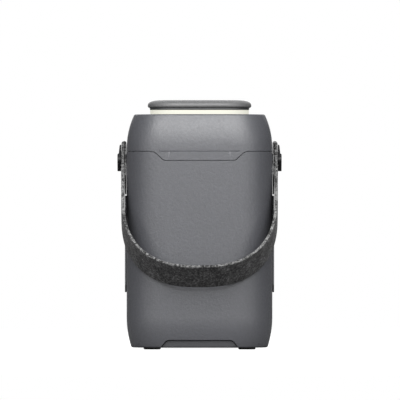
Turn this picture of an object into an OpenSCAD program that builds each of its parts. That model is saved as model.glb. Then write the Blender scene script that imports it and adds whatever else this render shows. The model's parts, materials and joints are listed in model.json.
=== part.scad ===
// Portable power station: an upright case with a pop-up lamp on top, ports on the front
// and a webbing strap that swings on the two sides.
// Frame: millimetres, +Z up, origin on the ground under the middle of the case.
// -Y is the plain back, +Y is the front with the display and the ports.

/* [Case] */
// Width of the case between its side walls
body_w = 121; // [118:0.5:150]
// Depth of the case from back to front
body_d = 120; // [118:0.5:150]
// Height of the top face above the ground
body_top = 195; // [192:1:240]
// Radius of the upright corners
corner_r = 36; // [32:1:38]
// Wall thickness of the shells
wall = 2.4; // [2:0.1:3]
// Thickness of the roof
top_wall = 4.4; // [4:0.1:6]
// Visible gap between two shells
seam = 0.4; // [0.2:0.1:0.6]
// How far the sides lean in at the top
top_lean = 5.9; // [3:0.1:8]
// Height of the leaning zone at the top
top_lean_h = 27; // [20:1:32]
// How far the sides lean in at the bottom
bottom_lean = 3.6; // [2:0.1:5]
// Height of the leaning zone at the bottom
bottom_lean_h = 24; // [12:1:26]
// Rounding of the top and bottom edges
edge_r = 1.8; // [1:0.1:2.5]

/* [Parting lines] */
// Depth of the top cover from the roof down to the parting line
cover_drop = 31; // [28:1:34]
// Half width of the cover's tab at its lower edge
tab_low = 30; // [20:1:32]
// Half width of the cover's tab at the parting line
tab_high = 38; // [34:1:40]
// How far the tab reaches below the parting line
tab_drop = 7.6; // [5:0.1:9]
// How far along its sides the tab's upper bends are rounded
tab_bend = 3.5; // [1:0.5:3.5]
// Height and depth of the crease that carries the parting line across the tab
crease = 0.35; // [0.2:0.05:0.5]
// Half width of the notch in the lower edge, at its roof
notch_high = 27.6; // [20:0.2:30]
// Half width of the notch at the ground side
notch_low = 32.4; // [30:0.2:36]
// Height of the notch
notch_h = 6.4; // [4:0.1:8]
// How far along its edges the notch's upper corners are rounded
notch_bend = 2.6; // [1:0.2:3]

/* [Base and feet] */
// Height of the base above the ground
base_z = 1.5; // [1:0.1:4]
// Thickness of the base cover
base_t = 3; // [3:0.1:4]
// Radius of a rubber foot
foot_r = 7.1; // [6:0.1:9]
// Distance of a foot's centre from the side wall
foot_in_x = 21.2; // [20:0.1:24]
// Distance of a foot's centre from the back or front wall
foot_in_y = 23.5; // [20:0.1:26]

/* [Lamp] */
// Width of the lamp cap
lamp_w = 86; // [80:1:90]
// Depth of the lamp cap
lamp_d = 85; // [80:1:90]
// Corner radius of the lamp cap
lamp_r = 25; // [20:1:30]
// Travel of the lamp between down and up
lamp_rise = 6.8; // [4:0.1:7]
// Height of the lit band above the roof when the lamp is up
lit_band = 3.6; // [3:0.1:4]
// Height of the dark ring under the cap
trim_h = 2; // [1.5:0.1:2.5]
// Height of the cap
cap_h = 6.2; // [5:0.1:8]
// Depth of the seat that the lowered cap rests in
seat_depth = 1.8; // [1.2:0.1:2.2]

/* [Strap] */
// Width of the webbing
strap_w = 28; // [24:1:32]
// Thickness of one layer of webbing
strap_t = 2.6; // [2:0.1:3]
// Depth of the strap's loop below its pivots, along the strap
loop_depth = 123; // [118:0.2:160]
// Straight length of each arm below its pivot
arm_len = 50; // [40:1:70]
// Gap between the leaning strap and the back of the case
strap_gap = 0.5; // [0.3:0.1:2]
// Squareness of the loop, where 2 is an ellipse
loop_power = 2.5; // [2:0.1:3]
// Distance of the pivots below the roof
pivot_drop = 37; // [34:1:40]
// Radius of the pivot posts
post_r = 4; // [3:0.1:5]

/* [Ports] */
// Radius of the 12 V socket's bore
socket_r = 10.5; // [10.45:0.01:10.7]
// Travel of a push button
button_travel = 0.8; // [0.4:0.1:0.8]
// Radius of the round power button
button_r = 6.5; // [5:0.1:7]

/* [Battery] */
// Width of one cell
cell_w = 88; // [70:1:90]
// Depth of one cell
cell_d = 66; // [50:1:68]
// Thickness of one cell
cell_h = 17; // [12:0.5:17]
// Number of cells in the stack
cell_count = 8; // [4:1:8]

/* [Hidden] */

$fn = 64;
far = 400;                 // longer than the whole object, for cutting boxes
clear = 0.3;               // gap between parts that sit in one another
run = 0.05;                // radial clearance of a pin that turns in its bore

half_w = body_w / 2;
half_d = body_d / 2;
seam_y = half_d - corner_r;          // upright seam between the rear and front shells
part_z = body_top - cover_drop;      // parting line of the top cover
roof_z = body_top - top_wall;        // underside of the roof
pivot_z = body_top - pivot_drop;
fold_s = 26;               // how far below the pivot the strap's folded end is sewn down
inner_w = half_w - wall;
mouth_in = wall + bottom_lean + 0.8; // inset of the open bottom, which the base cover fills

// Colours, as the real finish shows them
case_grey = [0.42, 0.43, 0.45];
dark_grey = [0.22, 0.23, 0.25];
black = [0.06, 0.06, 0.065];
felt_grey = [0.25, 0.25, 0.26];
metal = [0.72, 0.72, 0.74];
brass = [0.80, 0.62, 0.30];
board_green = [0.06, 0.26, 0.16];
milky = [0.96, 0.96, 0.88];
cell_blue = [0.16, 0.30, 0.52];

// ---------- Shared outlines and shapes ----------

// Points of a wall that leans in by lean over height h and ends in a rounded edge of radius r.
// Each point is [inset from the wall, distance from the end face], from the end face inwards.
function lean_curve(lean, h, r) =
    let (big_r = (h * h + lean * lean) / (2 * lean),
         tip = asin(h / big_r),
         edge_h = r * (1 - sin(tip)))
    concat(
        [for (i = [0:2]) let (a = 90 - (90 - tip) * i / 3)
            [lean + r * (cos(tip) - cos(a)), r * (1 - sin(a))]],
        [for (i = [0:6]) let (a = tip * (1 - i / 6))
            [big_r * (1 - cos(a)), edge_h + h - big_r * sin(a)]]);

function flipped(list) = [for (i = [len(list) - 1:-1:0]) list[i]];

// Upright profile of the case, as [inset, z] from the bottom to the top.
function case_profile(inset) = concat(
    [for (p = lean_curve(bottom_lean, bottom_lean_h, edge_r)) [p.x + inset, base_z + p.y]],
    [for (p = flipped(lean_curve(top_lean, top_lean_h, edge_r))) [p.x + inset, body_top - p.y]]);

// A rounded block: a profile of [inset, z] carried around a rounded rectangle.
module rounded_sweep(hx, hy, r, profile) {
    low = profile[0].y;
    high = profile[len(profile) - 1].y;
    for (turn = [0:3]) {
        sx = (turn == 0 || turn == 3) ? 1 : -1;
        sy = turn < 2 ? 1 : -1;
        translate([sx * (hx - r), sy * (hy - r), 0]) rotate([0, 0, 90 * turn])
            rotate_extrude(angle = 90)
                polygon(concat([[0, low]], [for (p = profile) [r - p.x, p.y]], [[0, high]]));
    }
    rotate([90, 0, 0]) linear_extrude(2 * (hy - r), center = true) section(hx, profile);
    rotate([90, 0, 90]) linear_extrude(2 * (hx - r), center = true) section(hy, profile);
}

module section(half, profile) {
    polygon(concat([for (p = profile) [half - p.x, p.y]],
                   [for (p = flipped(profile)) [p.x - half, p.y]]));
}

// The case as a solid, every wall moved in by inset.
module case_solid(inset) {
    rounded_sweep(half_w, half_d, corner_r, case_profile(inset));
}

// The skin of the case between two depths, open at the bottom and under the roof.
module case_skin(outer, inner) {
    difference() {
        case_solid(outer);
        difference() {
            case_solid(inner);
            slab(roof_z, far);
        }
        slab(-far, base_z - 0.01);
        rounded_sweep(half_w, half_d, corner_r, [[mouth_in, -1], [mouth_in, base_z + base_t]]);
    }
}

module slab(low, high) {
    translate([-far / 2, -far / 2, low]) cube([far, far, high - low]);
}

// A rounded rectangle of constant height.
module rounded_block(hx, hy, r, low, high) {
    rounded_sweep(hx, hy, r, [[0, low], [0, high]]);
}

// A slot with round ends, w by h, cut along Y between two planes.
module stadium(w, h, low, high) {
    rotate([90, 0, 0]) translate([0, 0, -high]) linear_extrude(high - low) {
        square([w - h, h], center = true);
        for (s = [-1, 1]) translate([s * (w - h) / 2, 0]) circle(d = h);
    }
}

module box_y(w, h, low, high) {
    translate([-w / 2, low, -h / 2]) cube([w, high - low, h]);
}

module rod_x(r, low, high) {
    translate([low, 0, 0]) rotate([0, 90, 0]) cylinder(r = r, h = high - low);
}

module rod_y(r, low, high) {
    translate([0, low, 0]) rotate([-90, 0, 0]) cylinder(r = r, h = high - low);
}

// A shape in the X-Z plane, carried through the whole depth.
module through_y(points, low = -far / 2, high = far / 2) {
    rotate([90, 0, 0]) translate([0, 0, -high]) linear_extrude(high - low) polygon(points);
}

// A shape in the Y-Z plane, carried through the given X range.
module through_x(points, low = -far / 2, high = far / 2) {
    rotate([90, 0, 90]) translate([0, 0, low]) linear_extrude(high - low) polygon(points);
}

// A corner b between a and c, rounded off from a distance r on either side of it.
function rounded(a, b, c, r) =
    let (from = b + r * (a - b) / norm(a - b), to = b + r * (c - b) / norm(c - b))
    [for (t = [0:0.25:1]) (1 - t) * (1 - t) * from + 2 * t * (1 - t) * b + t * t * to];

// Rectangle with cut corners, as [across, up] points.
function cut_rectangle(half, low, high, cut) = [
    [-half + cut, low], [half - cut, low], [half, low + cut], [half, high - cut],
    [half - cut, high], [-half + cut, high], [-half, high - cut], [-half, low + cut]];

// ---------- Zones of the case ----------

side_tab_half = 16;        // half width of the shell's tab around the strap's pivot
side_tab_slope = 6;
side_tab_rise = 8;         // how far that tab stands above the parting line

// Everything above the parting line, with the tab at front and back; grown by -gap.
module cover_zone(gap) {
    low = [tab_low - gap, part_z - tab_drop + gap];
    high = [tab_high - gap, part_z + gap];
    outer = [far / 2, part_z + gap];
    edge = concat(rounded([0, low.y], low, high, tab_bend / 2), rounded(low, high, outer, tab_bend),
                  [outer, [far / 2, far]]);
    difference() {
        through_y(concat(edge, [for (p = flipped(edge)) [-p.x, p.y]]));
        for (s = [-1, 1]) scale_x(s) side_tab(gap);
    }
}

module scale_x(s) {
    if (s < 0) mirror([1, 0, 0]) children();
    else children();
}

module side_tab(gap) {
    top = part_z + side_tab_rise + gap;
    low = part_z - 40;
    through_x([[-side_tab_half - side_tab_slope - gap, low], [side_tab_half + side_tab_slope + gap, low],
               [side_tab_half + side_tab_slope + gap, part_z + gap], [side_tab_half + gap, top],
               [-side_tab_half - gap, top], [-side_tab_half - side_tab_slope - gap, part_z + gap]],
              half_w - corner_r / 2, far / 2);
}

module notch_zone(gap) {
    low = [notch_low - gap, base_z];
    high = [notch_high - gap, base_z + notch_h - gap];
    edge = concat([[low.x, -1], low], rounded(low, high, [0, high.y], notch_bend));
    through_y(concat(edge, [for (p = flipped(edge)) [-p.x, p.y]]));
}

// ---------- Shells ----------

grille_low = 47.3;
grille_high = pivot_z - norm([fold_s, strap_w / 2]) - 0.8;   // clear of the swinging strap
grille_half = 22;
grille_cut = 6;
grille_lip = 2.2;          // how far the grille's flange covers the shell
drain_low = grille_low - 8.8;
drain_high = grille_low - 4.3;
lip_depth = 1.3;           // thickness of the hidden lips behind the seams
lip_reach = 3;             // how far a lip passes a seam
anchor_neck_r = 5;

foot_x = half_w - foot_in_x;
foot_y = half_d - foot_in_y;
boss_r = 4.5;
boss_top = base_z + 9;
screw_pilot = 1.45;
corner_feet = [for (sx = [-1, 1], sy = [-1, 1]) [sx, sy]];

// Screw boss in a lower corner, with a web to the wall.
module corner_boss(sx, sy) {
    low = base_z + base_t + 0.1;
    out_x = foot_x - half_w + corner_r;
    out_y = foot_y - half_d + corner_r;
    web_end = corner_r - bottom_lean + 0.6;
    difference() {
        union() {
            translate([sx * foot_x, sy * foot_y, low]) cylinder(r = boss_r, h = boss_top - low);
            translate([sx * (half_w - corner_r), sy * (half_d - corner_r), low])
                rotate([0, 0, atan2(sy * out_y, sx * out_x)])
                    translate([norm([out_x, out_y]), -1.2, 0])
                        cube([web_end - norm([out_x, out_y]), 2.4, boss_top - low - 1]);
        }
        translate([sx * foot_x, sy * foot_y, 0]) cylinder(r = screw_pilot, h = boss_top + 1);
    }
}

module grille_window() {
    hole = cut_rectangle(grille_half - grille_lip + clear / 2, grille_low + grille_lip - clear / 2,
                         grille_high - grille_lip + clear / 2, grille_cut);
    for (s = [-1, 1]) scale_x(s) through_x(hole, half_w - 3 * wall, far / 2);
}

module drain_slots() {
    for (s = [-1, 1]) scale_x(s) translate([half_w - 1, -12, drain_low]) cube([5, 24, drain_high - drain_low]);
}

module rear_shell() {
    color(case_grey) {
        difference() {
            case_skin(0, wall);
            translate([-far / 2, seam_y, -1]) cube(far);
            cover_zone(0);
            notch_zone(0);
            grille_window();
            drain_slots();
            translate([0, 0, pivot_z]) rod_x(anchor_neck_r + run, -far / 2, far / 2);
        }
        for (sx = [-1, 1]) corner_boss(sx, -1);
    }
}

fascia_half = 39;
fascia_low = 30;
fascia_high = part_z - tab_drop - lip_reach - 3;
fascia_cut = 9;
fascia_in = 1;             // how far the fascia sits below the front wall
fascia_t = 2.2;
fascia_back = fascia_in + fascia_t + 0.3;   // depth of the back of its flange
face_y = half_d - fascia_in;         // outer surface of the fascia at its middle

// Where a surface that is set in from the front wall stands at x, on the flat or round the corner.
function front_y(x, inset) = abs(x) < half_w - corner_r ? half_d - inset :
    half_d - corner_r + sqrt(pow(corner_r - inset, 2) - pow(abs(x) - half_w + corner_r, 2));

function fascia_outline(grow) =
    cut_rectangle(fascia_half + grow, fascia_low - grow, fascia_high + grow, fascia_cut);

module front_lip() {
    intersection() {
        case_skin(wall + 0.1, wall + 0.1 + lip_depth);
        translate([-far / 2, seam_y - lip_reach, boss_top + 2])
            cube([far, 2 * lip_reach, part_z - tab_drop - lip_reach - boss_top - 4]);
    }
    intersection() {
        case_skin(wall - 0.2, wall + 0.3);
        translate([-far / 2, seam_y + seam + 0.4, boss_top + 2])
            cube([far, lip_reach - seam - 0.4, part_z - tab_drop - lip_reach - boss_top - 4]);
    }
}

module front_shell() {
    color(case_grey) {
        difference() {
            case_skin(0, wall);
            translate([-far / 2, seam_y + seam - far, -1]) cube(far);
            cover_zone(0);
            notch_zone(0);
            through_y(fascia_outline(clear), 0);
        }
        front_lip();
        for (sx = [-1, 1]) corner_boss(sx, 1);
    }
}

lamp_hx = lamp_w / 2;
lamp_hy = lamp_d / 2;
cap_z = body_top + lit_band + trim_h;    // underside of the raised cap
seat_z = body_top - seat_depth;
diffuser_in = 2;                          // how far the diffuser sits in from the cap's edge
well_gap = 0.5;                           // gap between the diffuser and the roof

module cover_lip() {
    intersection() {
        case_skin(wall + 0.1, wall + 0.1 + lip_depth);
        cover_zone(-lip_reach);
        slab(part_z - tab_drop - lip_reach - 1, part_z + 2 * lip_reach);
    }
    intersection() {
        case_skin(wall - 0.2, wall + 0.3);
        cover_zone(seam + 0.6);
        slab(part_z - tab_drop, part_z + 2 * lip_reach);
    }
}

// Shallow line across the tab, level with the parting line.
module tab_crease() {
    half = tab_high - tab_bend - 1;
    difference() {
        translate([-half, -far / 2, part_z]) cube([2 * half, far, crease]);
        rounded_block(half_w - crease, half_d - crease, corner_r - crease, 0, far);
    }
}

module top_cover() {
    color(case_grey) {
        difference() {
            union() {
                intersection() {
                    case_skin(0, wall);
                    cover_zone(seam);
                }
                difference() {
                    cover_lip();
                    for (s = [-1, 1]) scale_x(s)
                        translate([half_w - corner_r / 2, -side_tab_half - side_tab_slope - 3, 0])
                            cube([far, 2 * (side_tab_half + side_tab_slope + 3), far]);
                }
            }
            rounded_block(lamp_hx + 1, lamp_hy + 1, lamp_r + 1, seat_z, far);
            rounded_block(lamp_hx - diffuser_in + well_gap, lamp_hy - diffuser_in + well_gap,
                          lamp_r - diffuser_in + well_gap, 0, far);
            for (p = tray_ears) translate([p.x, p.y, roof_z - 1]) cylinder(r = 1.25, h = 3.8);
            tab_crease();
        }
    }
}

cradle_top = boss_top + 0.4; // the ribs carry the battery over the screw bosses
cradle_x = 30.5;             // the bands run over these ribs

module base_cover() {
    inset = mouth_in + clear;
    color(dark_grey) difference() {
        union() {
            rounded_block(half_w - inset, half_d - inset, corner_r - inset, base_z, base_z + base_t);
            intersection() {
                case_skin(1.6, inset + 1);
                notch_zone(clear);
                slab(base_z, far);
            }
            for (s = [-1, 1]) translate([s * cradle_x - 3.5, pack_low, base_z + base_t - 0.5])
                cube([7, cell_d, cradle_top - base_z - base_t + 0.5]);
        }
        for (c = corner_feet) translate([c.x * foot_x, c.y * foot_y, 0]) {
            cylinder(r = foot_r + 0.1, h = base_z + 0.4);
            cylinder(r = 3, h = base_z + 1.6);
            cylinder(r = 1.7, h = far);
        }
    }
}

module foot(sx, sy) {
    color(black) translate([sx * foot_x, sy * foot_y, 0]) {
        cylinder(r1 = foot_r - 0.5, r2 = foot_r, h = 0.5);
        translate([0, 0, 0.5]) cylinder(r = foot_r, h = base_z - 0.1);
    }
}

module base_screws() {
    color(metal) for (c = corner_feet) translate([c.x * foot_x, c.y * foot_y, base_z + 0.45]) {
        cylinder(r = 2.8, h = 1.15);
        cylinder(r = screw_pilot, h = boss_top - base_z - 1);
    }
}

slot_pitch = 4.8;
slot_h = 2.2;
slot_w = 33;
grille_proud = 1.5;

module side_grille(s) {
    slots = floor((grille_high - grille_low - 2 * grille_cut) / slot_pitch);
    first = (grille_high + grille_low) / 2 - (slots - 1) * slot_pitch / 2;
    color(dark_grey) scale_x(s) difference() {
        union() {
            through_x(cut_rectangle(grille_half, grille_low, grille_high, grille_cut),
                      half_w + 0.1, half_w + grille_proud);
            through_x(cut_rectangle(grille_half - grille_lip, grille_low + grille_lip,
                                    grille_high - grille_lip, grille_cut),
                      half_w - wall - 0.1, half_w + 0.2);
        }
        for (i = [0:slots - 1]) translate([0, 0, first + i * slot_pitch])
            rotate([0, 0, 90]) stadium(slot_w, slot_h, -far / 2, -half_w + 2 * wall);
    }
}

// ---------- Front panel, display and buttons ----------

display_hx = 31;
display_z = fascia_high - 24;
display_hz = 16;
button_z = display_z - display_hz - 10;
side_button_x = 24;
side_button_w = 13;
side_button_h = 6.4;
port_row_1 = button_z - 14.5;
port_row_2 = port_row_1 - 14;
port_column = 22;
car_x = -15;
car_z = fascia_low + 17.5;
car_cover_r = 15;
dc_x = 17;
dc_z = fascia_low + 19.5;
dc_cover_hx = 12;
dc_cover_hz = 7;
hinge_rise = 2.6;          // a cover's hinge pin above its upper edge
hinge_y = face_y - 1.1;
hinge_pin_r = 0.7;
hinge_lug_half = 5;
board_y = half_d - 15.4;   // front face of the main board
control_y = face_y - 10.4; // front face of the control board
usb_c_ports = [[-port_column, port_row_1], [0, port_row_1], [-port_column, port_row_2], [0, port_row_2]];
usb_a_ports = [[port_column, port_row_1], [port_column, port_row_2]];
board_posts = [for (x = [-33, 33], z = [fascia_low + 6, fascia_high - 6]) [x, z]];
post_hole = 1.1;
board_post_r = 2.6;

module hinge_notch() {
    translate([-hinge_lug_half - 0.8, -far / 2, -hinge_rise - 4])
        cube([2 * hinge_lug_half + 1.6, far, hinge_rise + 4 + 1.8]);
    rod_x(hinge_pin_r + run, -8.5, 8.5);
}

module front_fascia() {
    color(black) difference() {
        union() {
            intersection() {
                case_skin(fascia_in, fascia_in + fascia_t);
                through_y(fascia_outline(0), 0);
            }
            intersection() {
                case_skin(wall + 0.1, fascia_back);
                through_y(fascia_outline(2.5), 0);
            }
            for (p = board_posts) translate([p.x, 0, p.y])
                rod_y(board_post_r, board_y + 0.1, front_y(p.x, fascia_in + fascia_t));
        }
        for (p = board_posts) translate([p.x, 0, p.y]) rod_y(post_hole, board_y - 1, face_y - 6);
        translate([0, 0, display_z]) box_y(2 * display_hx, 2 * display_hz, 0, far);
        translate([0, 0, button_z]) rod_y(button_r + 0.2, face_y - 8, far);
        for (s = [-1, 1]) translate([s * side_button_x, 0, button_z])
            stadium(side_button_w + 0.4, side_button_h + 0.4, 0, far);
        for (p = usb_c_ports) translate([p.x, 0, p.y]) stadium(9.8, 4, 0, far);
        for (p = usb_a_ports) translate([p.x, 0, p.y]) box_y(13.8, 6.4, 0, far);
        translate([car_x, 0, car_z]) rod_y(car_cover_r + 0.4, face_y - 8, far);
        translate([car_x, hinge_y, car_z + car_cover_r + hinge_rise]) hinge_notch();
        translate([dc_x, 0, dc_z]) box_y(2 * dc_cover_hx + 0.8, 2 * dc_cover_hz + 0.8, 0, far);
        translate([dc_x, hinge_y, dc_z + dc_cover_hz + hinge_rise]) hinge_notch();
    }
}

module display_window() {
    color(black) translate([0, 0, display_z])
        box_y(2 * display_hx - 0.4, 2 * display_hz - 0.4, face_y - 2.2, face_y - 0.5);
}

module display_module() {
    color(dark_grey) translate([0, 0, display_z])
        box_y(2 * display_hx - 6, 2 * display_hz - 4, control_y + 0.3, face_y - 2.6);
}

module control_board() {
    color(board_green) {
        difference() {
            translate([-30, control_y - 1.6, button_z - 5]) cube([60, 1.6, display_z + display_hz - button_z + 4]);
            for (p = board_posts) translate([p.x, 0, p.y]) rod_y(board_post_r + 0.4, 0, far);
        }
        for (x = [-side_button_x, 0, side_button_x]) translate([x, 0, button_z])
            box_y(4, 4, control_y - 0.2, control_y + 1.5);
    }
}

button_back = face_y - 4.2;      // back of a button's flange
button_face = face_y + 0.3;

module button_stem() {
    rod_y(1.5, control_y + 1.5 + button_travel + 0.1, button_back + 0.5);
}

module power_button() {
    color(dark_grey) translate([0, 0, button_z]) {
        rod_y(button_r, button_back, button_face);
        rod_y(button_r + 0.9, button_back, face_y - fascia_t - 0.4);
        button_stem();
    }
}

module side_button(s) {
    color(dark_grey) translate([s * side_button_x, 0, button_z]) {
        stadium(side_button_w, side_button_h, button_back, button_face);
        stadium(side_button_w + 1.6, side_button_h + 1.6, button_back, face_y - fascia_t - 1.2);
        button_stem();
    }
}

// ---------- Ports ----------

port_mouth = face_y - 0.6;

module usb_c_port(p) {
    translate([p.x, 0, p.y]) {
        color(metal) difference() {
            stadium(9, 3.3, port_mouth - 7.4, port_mouth);
            stadium(8.4, 2.7, port_mouth - 6.6, port_mouth + 1);
        }
        color(black) box_y(6.6, 0.8, port_mouth - 7, port_mouth - 0.8);
        color(black) box_y(9.6, 4.2, board_y + 0.1, port_mouth - 7.2);
    }
}

module usb_a_port(p) {
    translate([p.x, 0, p.y]) {
        color(metal) difference() {
            box_y(13.2, 5.8, board_y + 0.1, port_mouth);
            box_y(12.5, 5.1, board_y + 1.8, port_mouth + 1);
        }
        color(black) translate([0, 0, 1]) box_y(11.1, 1.9, board_y + 1.5, port_mouth - 1);
    }
}

barrel_r = socket_r + 2;
barrel_back = half_d - 34.5;
barrel_floor = barrel_back + 2.5;
barrel_mouth = face_y - 2.2;
cover_back = face_y - 1.9;
flange_r = car_cover_r + 2;
flange_front = front_y(abs(car_x) + flange_r, fascia_back) - 0.12;

module car_socket_barrel() {
    color(metal) translate([car_x, 0, car_z]) difference() {
        union() {
            rod_y(barrel_r, barrel_back, barrel_mouth);
            rod_y(flange_r, flange_front - 1.5, flange_front);
        }
        rod_y(socket_r, barrel_floor, far);
        rod_y(3.2, barrel_back - 1, far);
    }
}

module car_socket_contact() {
    color(brass) translate([car_x, 0, car_z]) {
        rod_y(3.15, barrel_back, barrel_floor);
        rod_y(2.2, barrel_back - 3, barrel_floor);
    }
}

// Hinge knuckle of a cover that hangs from its pin; the origin is on the pin.
module hinge_lug() {
    translate([-hinge_lug_half, -0.7, -hinge_rise - 1]) cube([2 * hinge_lug_half, 1.5, hinge_rise + 1]);
    rod_x(1.4, -hinge_lug_half, hinge_lug_half);
}

module car_socket_cover() {
    color(dark_grey) difference() {
        union() {
            translate([car_x, 0, car_z]) rod_y(car_cover_r, cover_back, face_y + 0.2);
            translate([car_x, hinge_y, car_z + car_cover_r + hinge_rise]) hinge_lug();
        }
        translate([car_x, hinge_y, car_z + car_cover_r + hinge_rise]) rod_x(hinge_pin_r + run, -far, far);
        translate([car_x, 0, car_z - car_cover_r]) box_y(9, 3, face_y - 0.5, far);
    }
}

module cover_pin(x, z) {
    color(metal) translate([x, hinge_y, z + hinge_rise]) rod_x(hinge_pin_r, -8.3, 8.3);
}

dc_body_hx = 8.8;
dc_body_hz = 4.9;
dc_flange_hx = dc_cover_hx + 1.5;
dc_flange_front = front_y(dc_x + dc_flange_hx, fascia_back) - 0.17;

module dc_input_socket() {
    color([0.75, 0.62, 0.12]) translate([dc_x, 0, dc_z]) difference() {
        union() {
            box_y(2 * dc_body_hx, 2 * dc_body_hz, board_y + 0.1, face_y - 2.4);
            box_y(2 * dc_flange_hx, 2 * dc_cover_hz + 2.4, dc_flange_front - 0.9, dc_flange_front);
        }
        box_y(2 * dc_body_hx - 1.6, 2 * dc_body_hz - 1.6, board_y + 3, far);
        for (s = [-1, 1]) translate([s * 3.6, 0, 0]) rod_y(1.75, 0, far);
    }
}

module dc_input_contacts() {
    color(brass) for (s = [-1, 1]) translate([dc_x + s * 3.6, 0, dc_z]) rod_y(1.74, board_y + 0.1, face_y - 4);
}

module dc_input_cover() {
    pin_z = dc_z + dc_cover_hz + hinge_rise;
    color(dark_grey) difference() {
        union() {
            translate([dc_x, 0, dc_z]) box_y(2 * dc_cover_hx, 2 * dc_cover_hz, cover_back, face_y + 0.1);
            translate([dc_x, hinge_y, pin_z]) hinge_lug();
        }
        translate([dc_x, hinge_y, pin_z]) rod_x(hinge_pin_r + run, -far, far);
        translate([dc_x, 0, dc_z - dc_cover_hz]) box_y(8, 2.4, face_y - 0.5, far);
    }
}

// ---------- Strap and its pivots ----------

webbing_in = half_w + grille_proud + 0.4;        // inner face of the webbing
webbing_out = webbing_in + strap_t;
fold_in = half_w + 0.4;                          // inner face of the folded end
end_s = 8.4;                                     // the folded end above the pivot
hub_r = 6;
head_r = 5.2;
post_end = webbing_out + 0.8;
hook_out = webbing_out + 3.3;
hook_half = 8.5;

// Distance of a point beside the case from its upright walls.
function off_case(x, y) = norm([max(abs(x) - half_w + corner_r, 0), max(abs(y) - half_d + corner_r, 0)]) - corner_r;

// The strap leans back until its near edge is strap_gap from the case.
function strap_room(tilt) = min([for (p = loop_points(webbing_in, loop_depth - strap_t / 2 - arm_len, 60))
    off_case(p.x, p.y * sin(tilt) + strap_w / 2 * cos(tilt))]);
function lean(low, high, n) = n == 0 ? high :
    let (mid = (low + high) / 2)
    strap_room(mid) < strap_gap ? lean(mid, high, n - 1) : lean(low, mid, n - 1);
strap_tilt = lean(10, 80, 24);

// Places its children in the strap's own plane: X across, -Y down the strap, Z across the webbing.
module in_strap() {
    translate([0, 0, pivot_z]) rotate([90 - strap_tilt, 0, 0]) children();
}

// Half of a squared-off ellipse, from the left arm round to the right.
function loop_points(half, depth, steps) = [for (i = [0:steps])
    let (a = 180 * i / steps, c = cos(a), s = sin(a))
    [-half * sign(c) * pow(abs(c), 2 / loop_power), -arm_len - depth * pow(abs(s), 2 / loop_power)]];

module strap_webbing() {
    out_points = loop_points(webbing_out, loop_depth + strap_t / 2 - arm_len, 40);
    in_points = loop_points(webbing_in, loop_depth - strap_t / 2 - arm_len, 40);
    color(felt_grey) in_strap() difference() {
        union() {
            linear_extrude(strap_w, center = true)
                polygon(concat([[-webbing_out, end_s]], out_points, [[webbing_out, end_s], [webbing_in, end_s]],
                               flipped(in_points), [[-webbing_in, end_s]]));
            for (s = [-1, 1]) scale_x(s) {
                translate([fold_in, -fold_s, -strap_w / 2]) cube([1.3, fold_s + end_s, strap_w]);
                for (y = [-fold_s, end_s - 1.6]) translate([fold_in, y, -strap_w / 2])
                    cube([webbing_in - fold_in + 0.5, 1.6, strap_w]);
            }
        }
        rod_x(hub_r + 0.2, -far / 2, far / 2);
    }
}

module strap_hook(s) {
    plate = webbing_out + 0.2;
    color(black) in_strap() scale_x(s) difference() {
        union() {
            rod_x(hub_r, fold_in, plate + 0.5);
            intersection() {
                linear_extrude(2 * hook_half, center = true)
                    polygon([[plate, -8.3], [hook_out - 0.8, -8.3], [hook_out, -7.5], [hook_out, -1.5],
                             [hook_out - 1.1, -0.3], [hook_out - 2, 10.6], [plate, 10.6]]);
                rotate([90, 0, 90]) translate([0, 0, half_w]) linear_extrude(30) hook_outline();
            }
        }
        rod_x(post_r + run, 0, post_end + 0.1);
        rod_x(head_r + 0.2, post_end + 0.1, far);
    }
}

module hook_outline() {
    r = 4;
    for (y = [-8.3 + r, 10.6 - r], z = [-hook_half + r, hook_half - r]) translate([y, z]) circle(r = r);
    translate([-8.3 + r, -hook_half]) square([18.9 - 2 * r, 2 * hook_half]);
    translate([-8.3, -hook_half + r]) square([18.9, 2 * hook_half - 2 * r]);
}

anchor_flange_r = 8;

module strap_anchor(s) {
    color(metal) translate([0, 0, pivot_z]) scale_x(s) difference() {
        union() {
            rod_x(anchor_flange_r, inner_w - 2.2, inner_w - 0.05);
            rod_x(anchor_neck_r, inner_w - 1, half_w + 0.1);
            rod_x(post_r, half_w, post_end);
        }
        rod_x(1.6, half_w - 2, far);
    }
}

module strap_screw(s) {
    color(black) translate([0, 0, pivot_z]) scale_x(s) difference() {
        union() {
            rod_x(1.58, half_w - 1.5, post_end + 0.5);
            rod_x(head_r, post_end + 0.15, post_end + 1.5);
        }
        translate([post_end + 0.9, 0, 0]) rotate([0, 90, 0]) cylinder(r = 1.5, h = 5, $fn = 6);
    }
}

// ---------- Lamp ----------

diffuser_t = 2.2;
diffuser_low = body_top - 11;
inner_hx = lamp_hx - diffuser_in - diffuser_t;      // inside of the diffuser
inner_hy = lamp_hy - diffuser_in - diffuser_t;
inner_r = lamp_r - diffuser_in - diffuser_t;
carrier_z = body_top - 10.5;
carrier_t = 2;
board_top = cap_z - trim_h;
lamp_board_t = 1.2;
tray_wall_in = 0.8;                                 // gap between the diffuser and the tray's wall
tray_floor = body_top - 23;
tray_floor_t = 2.4;
tray_t = 2.6;
tray_hx = lamp_hx - diffuser_in + tray_wall_in;
tray_hy = lamp_hy - diffuser_in + tray_wall_in;
tray_r = lamp_r - diffuser_in + tray_wall_in;
ear_x = tray_hx + tray_t + 2.6;
tray_ears = [for (sx = [-1, 1], y = [-20, 20]) [sx * ear_x, y]];
guide_at = 27;
guide_r = 2.5;
guides = [for (x = [-guide_at, guide_at], y = [-guide_at, guide_at]) [x, y]];
latch_x = 18;

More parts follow.
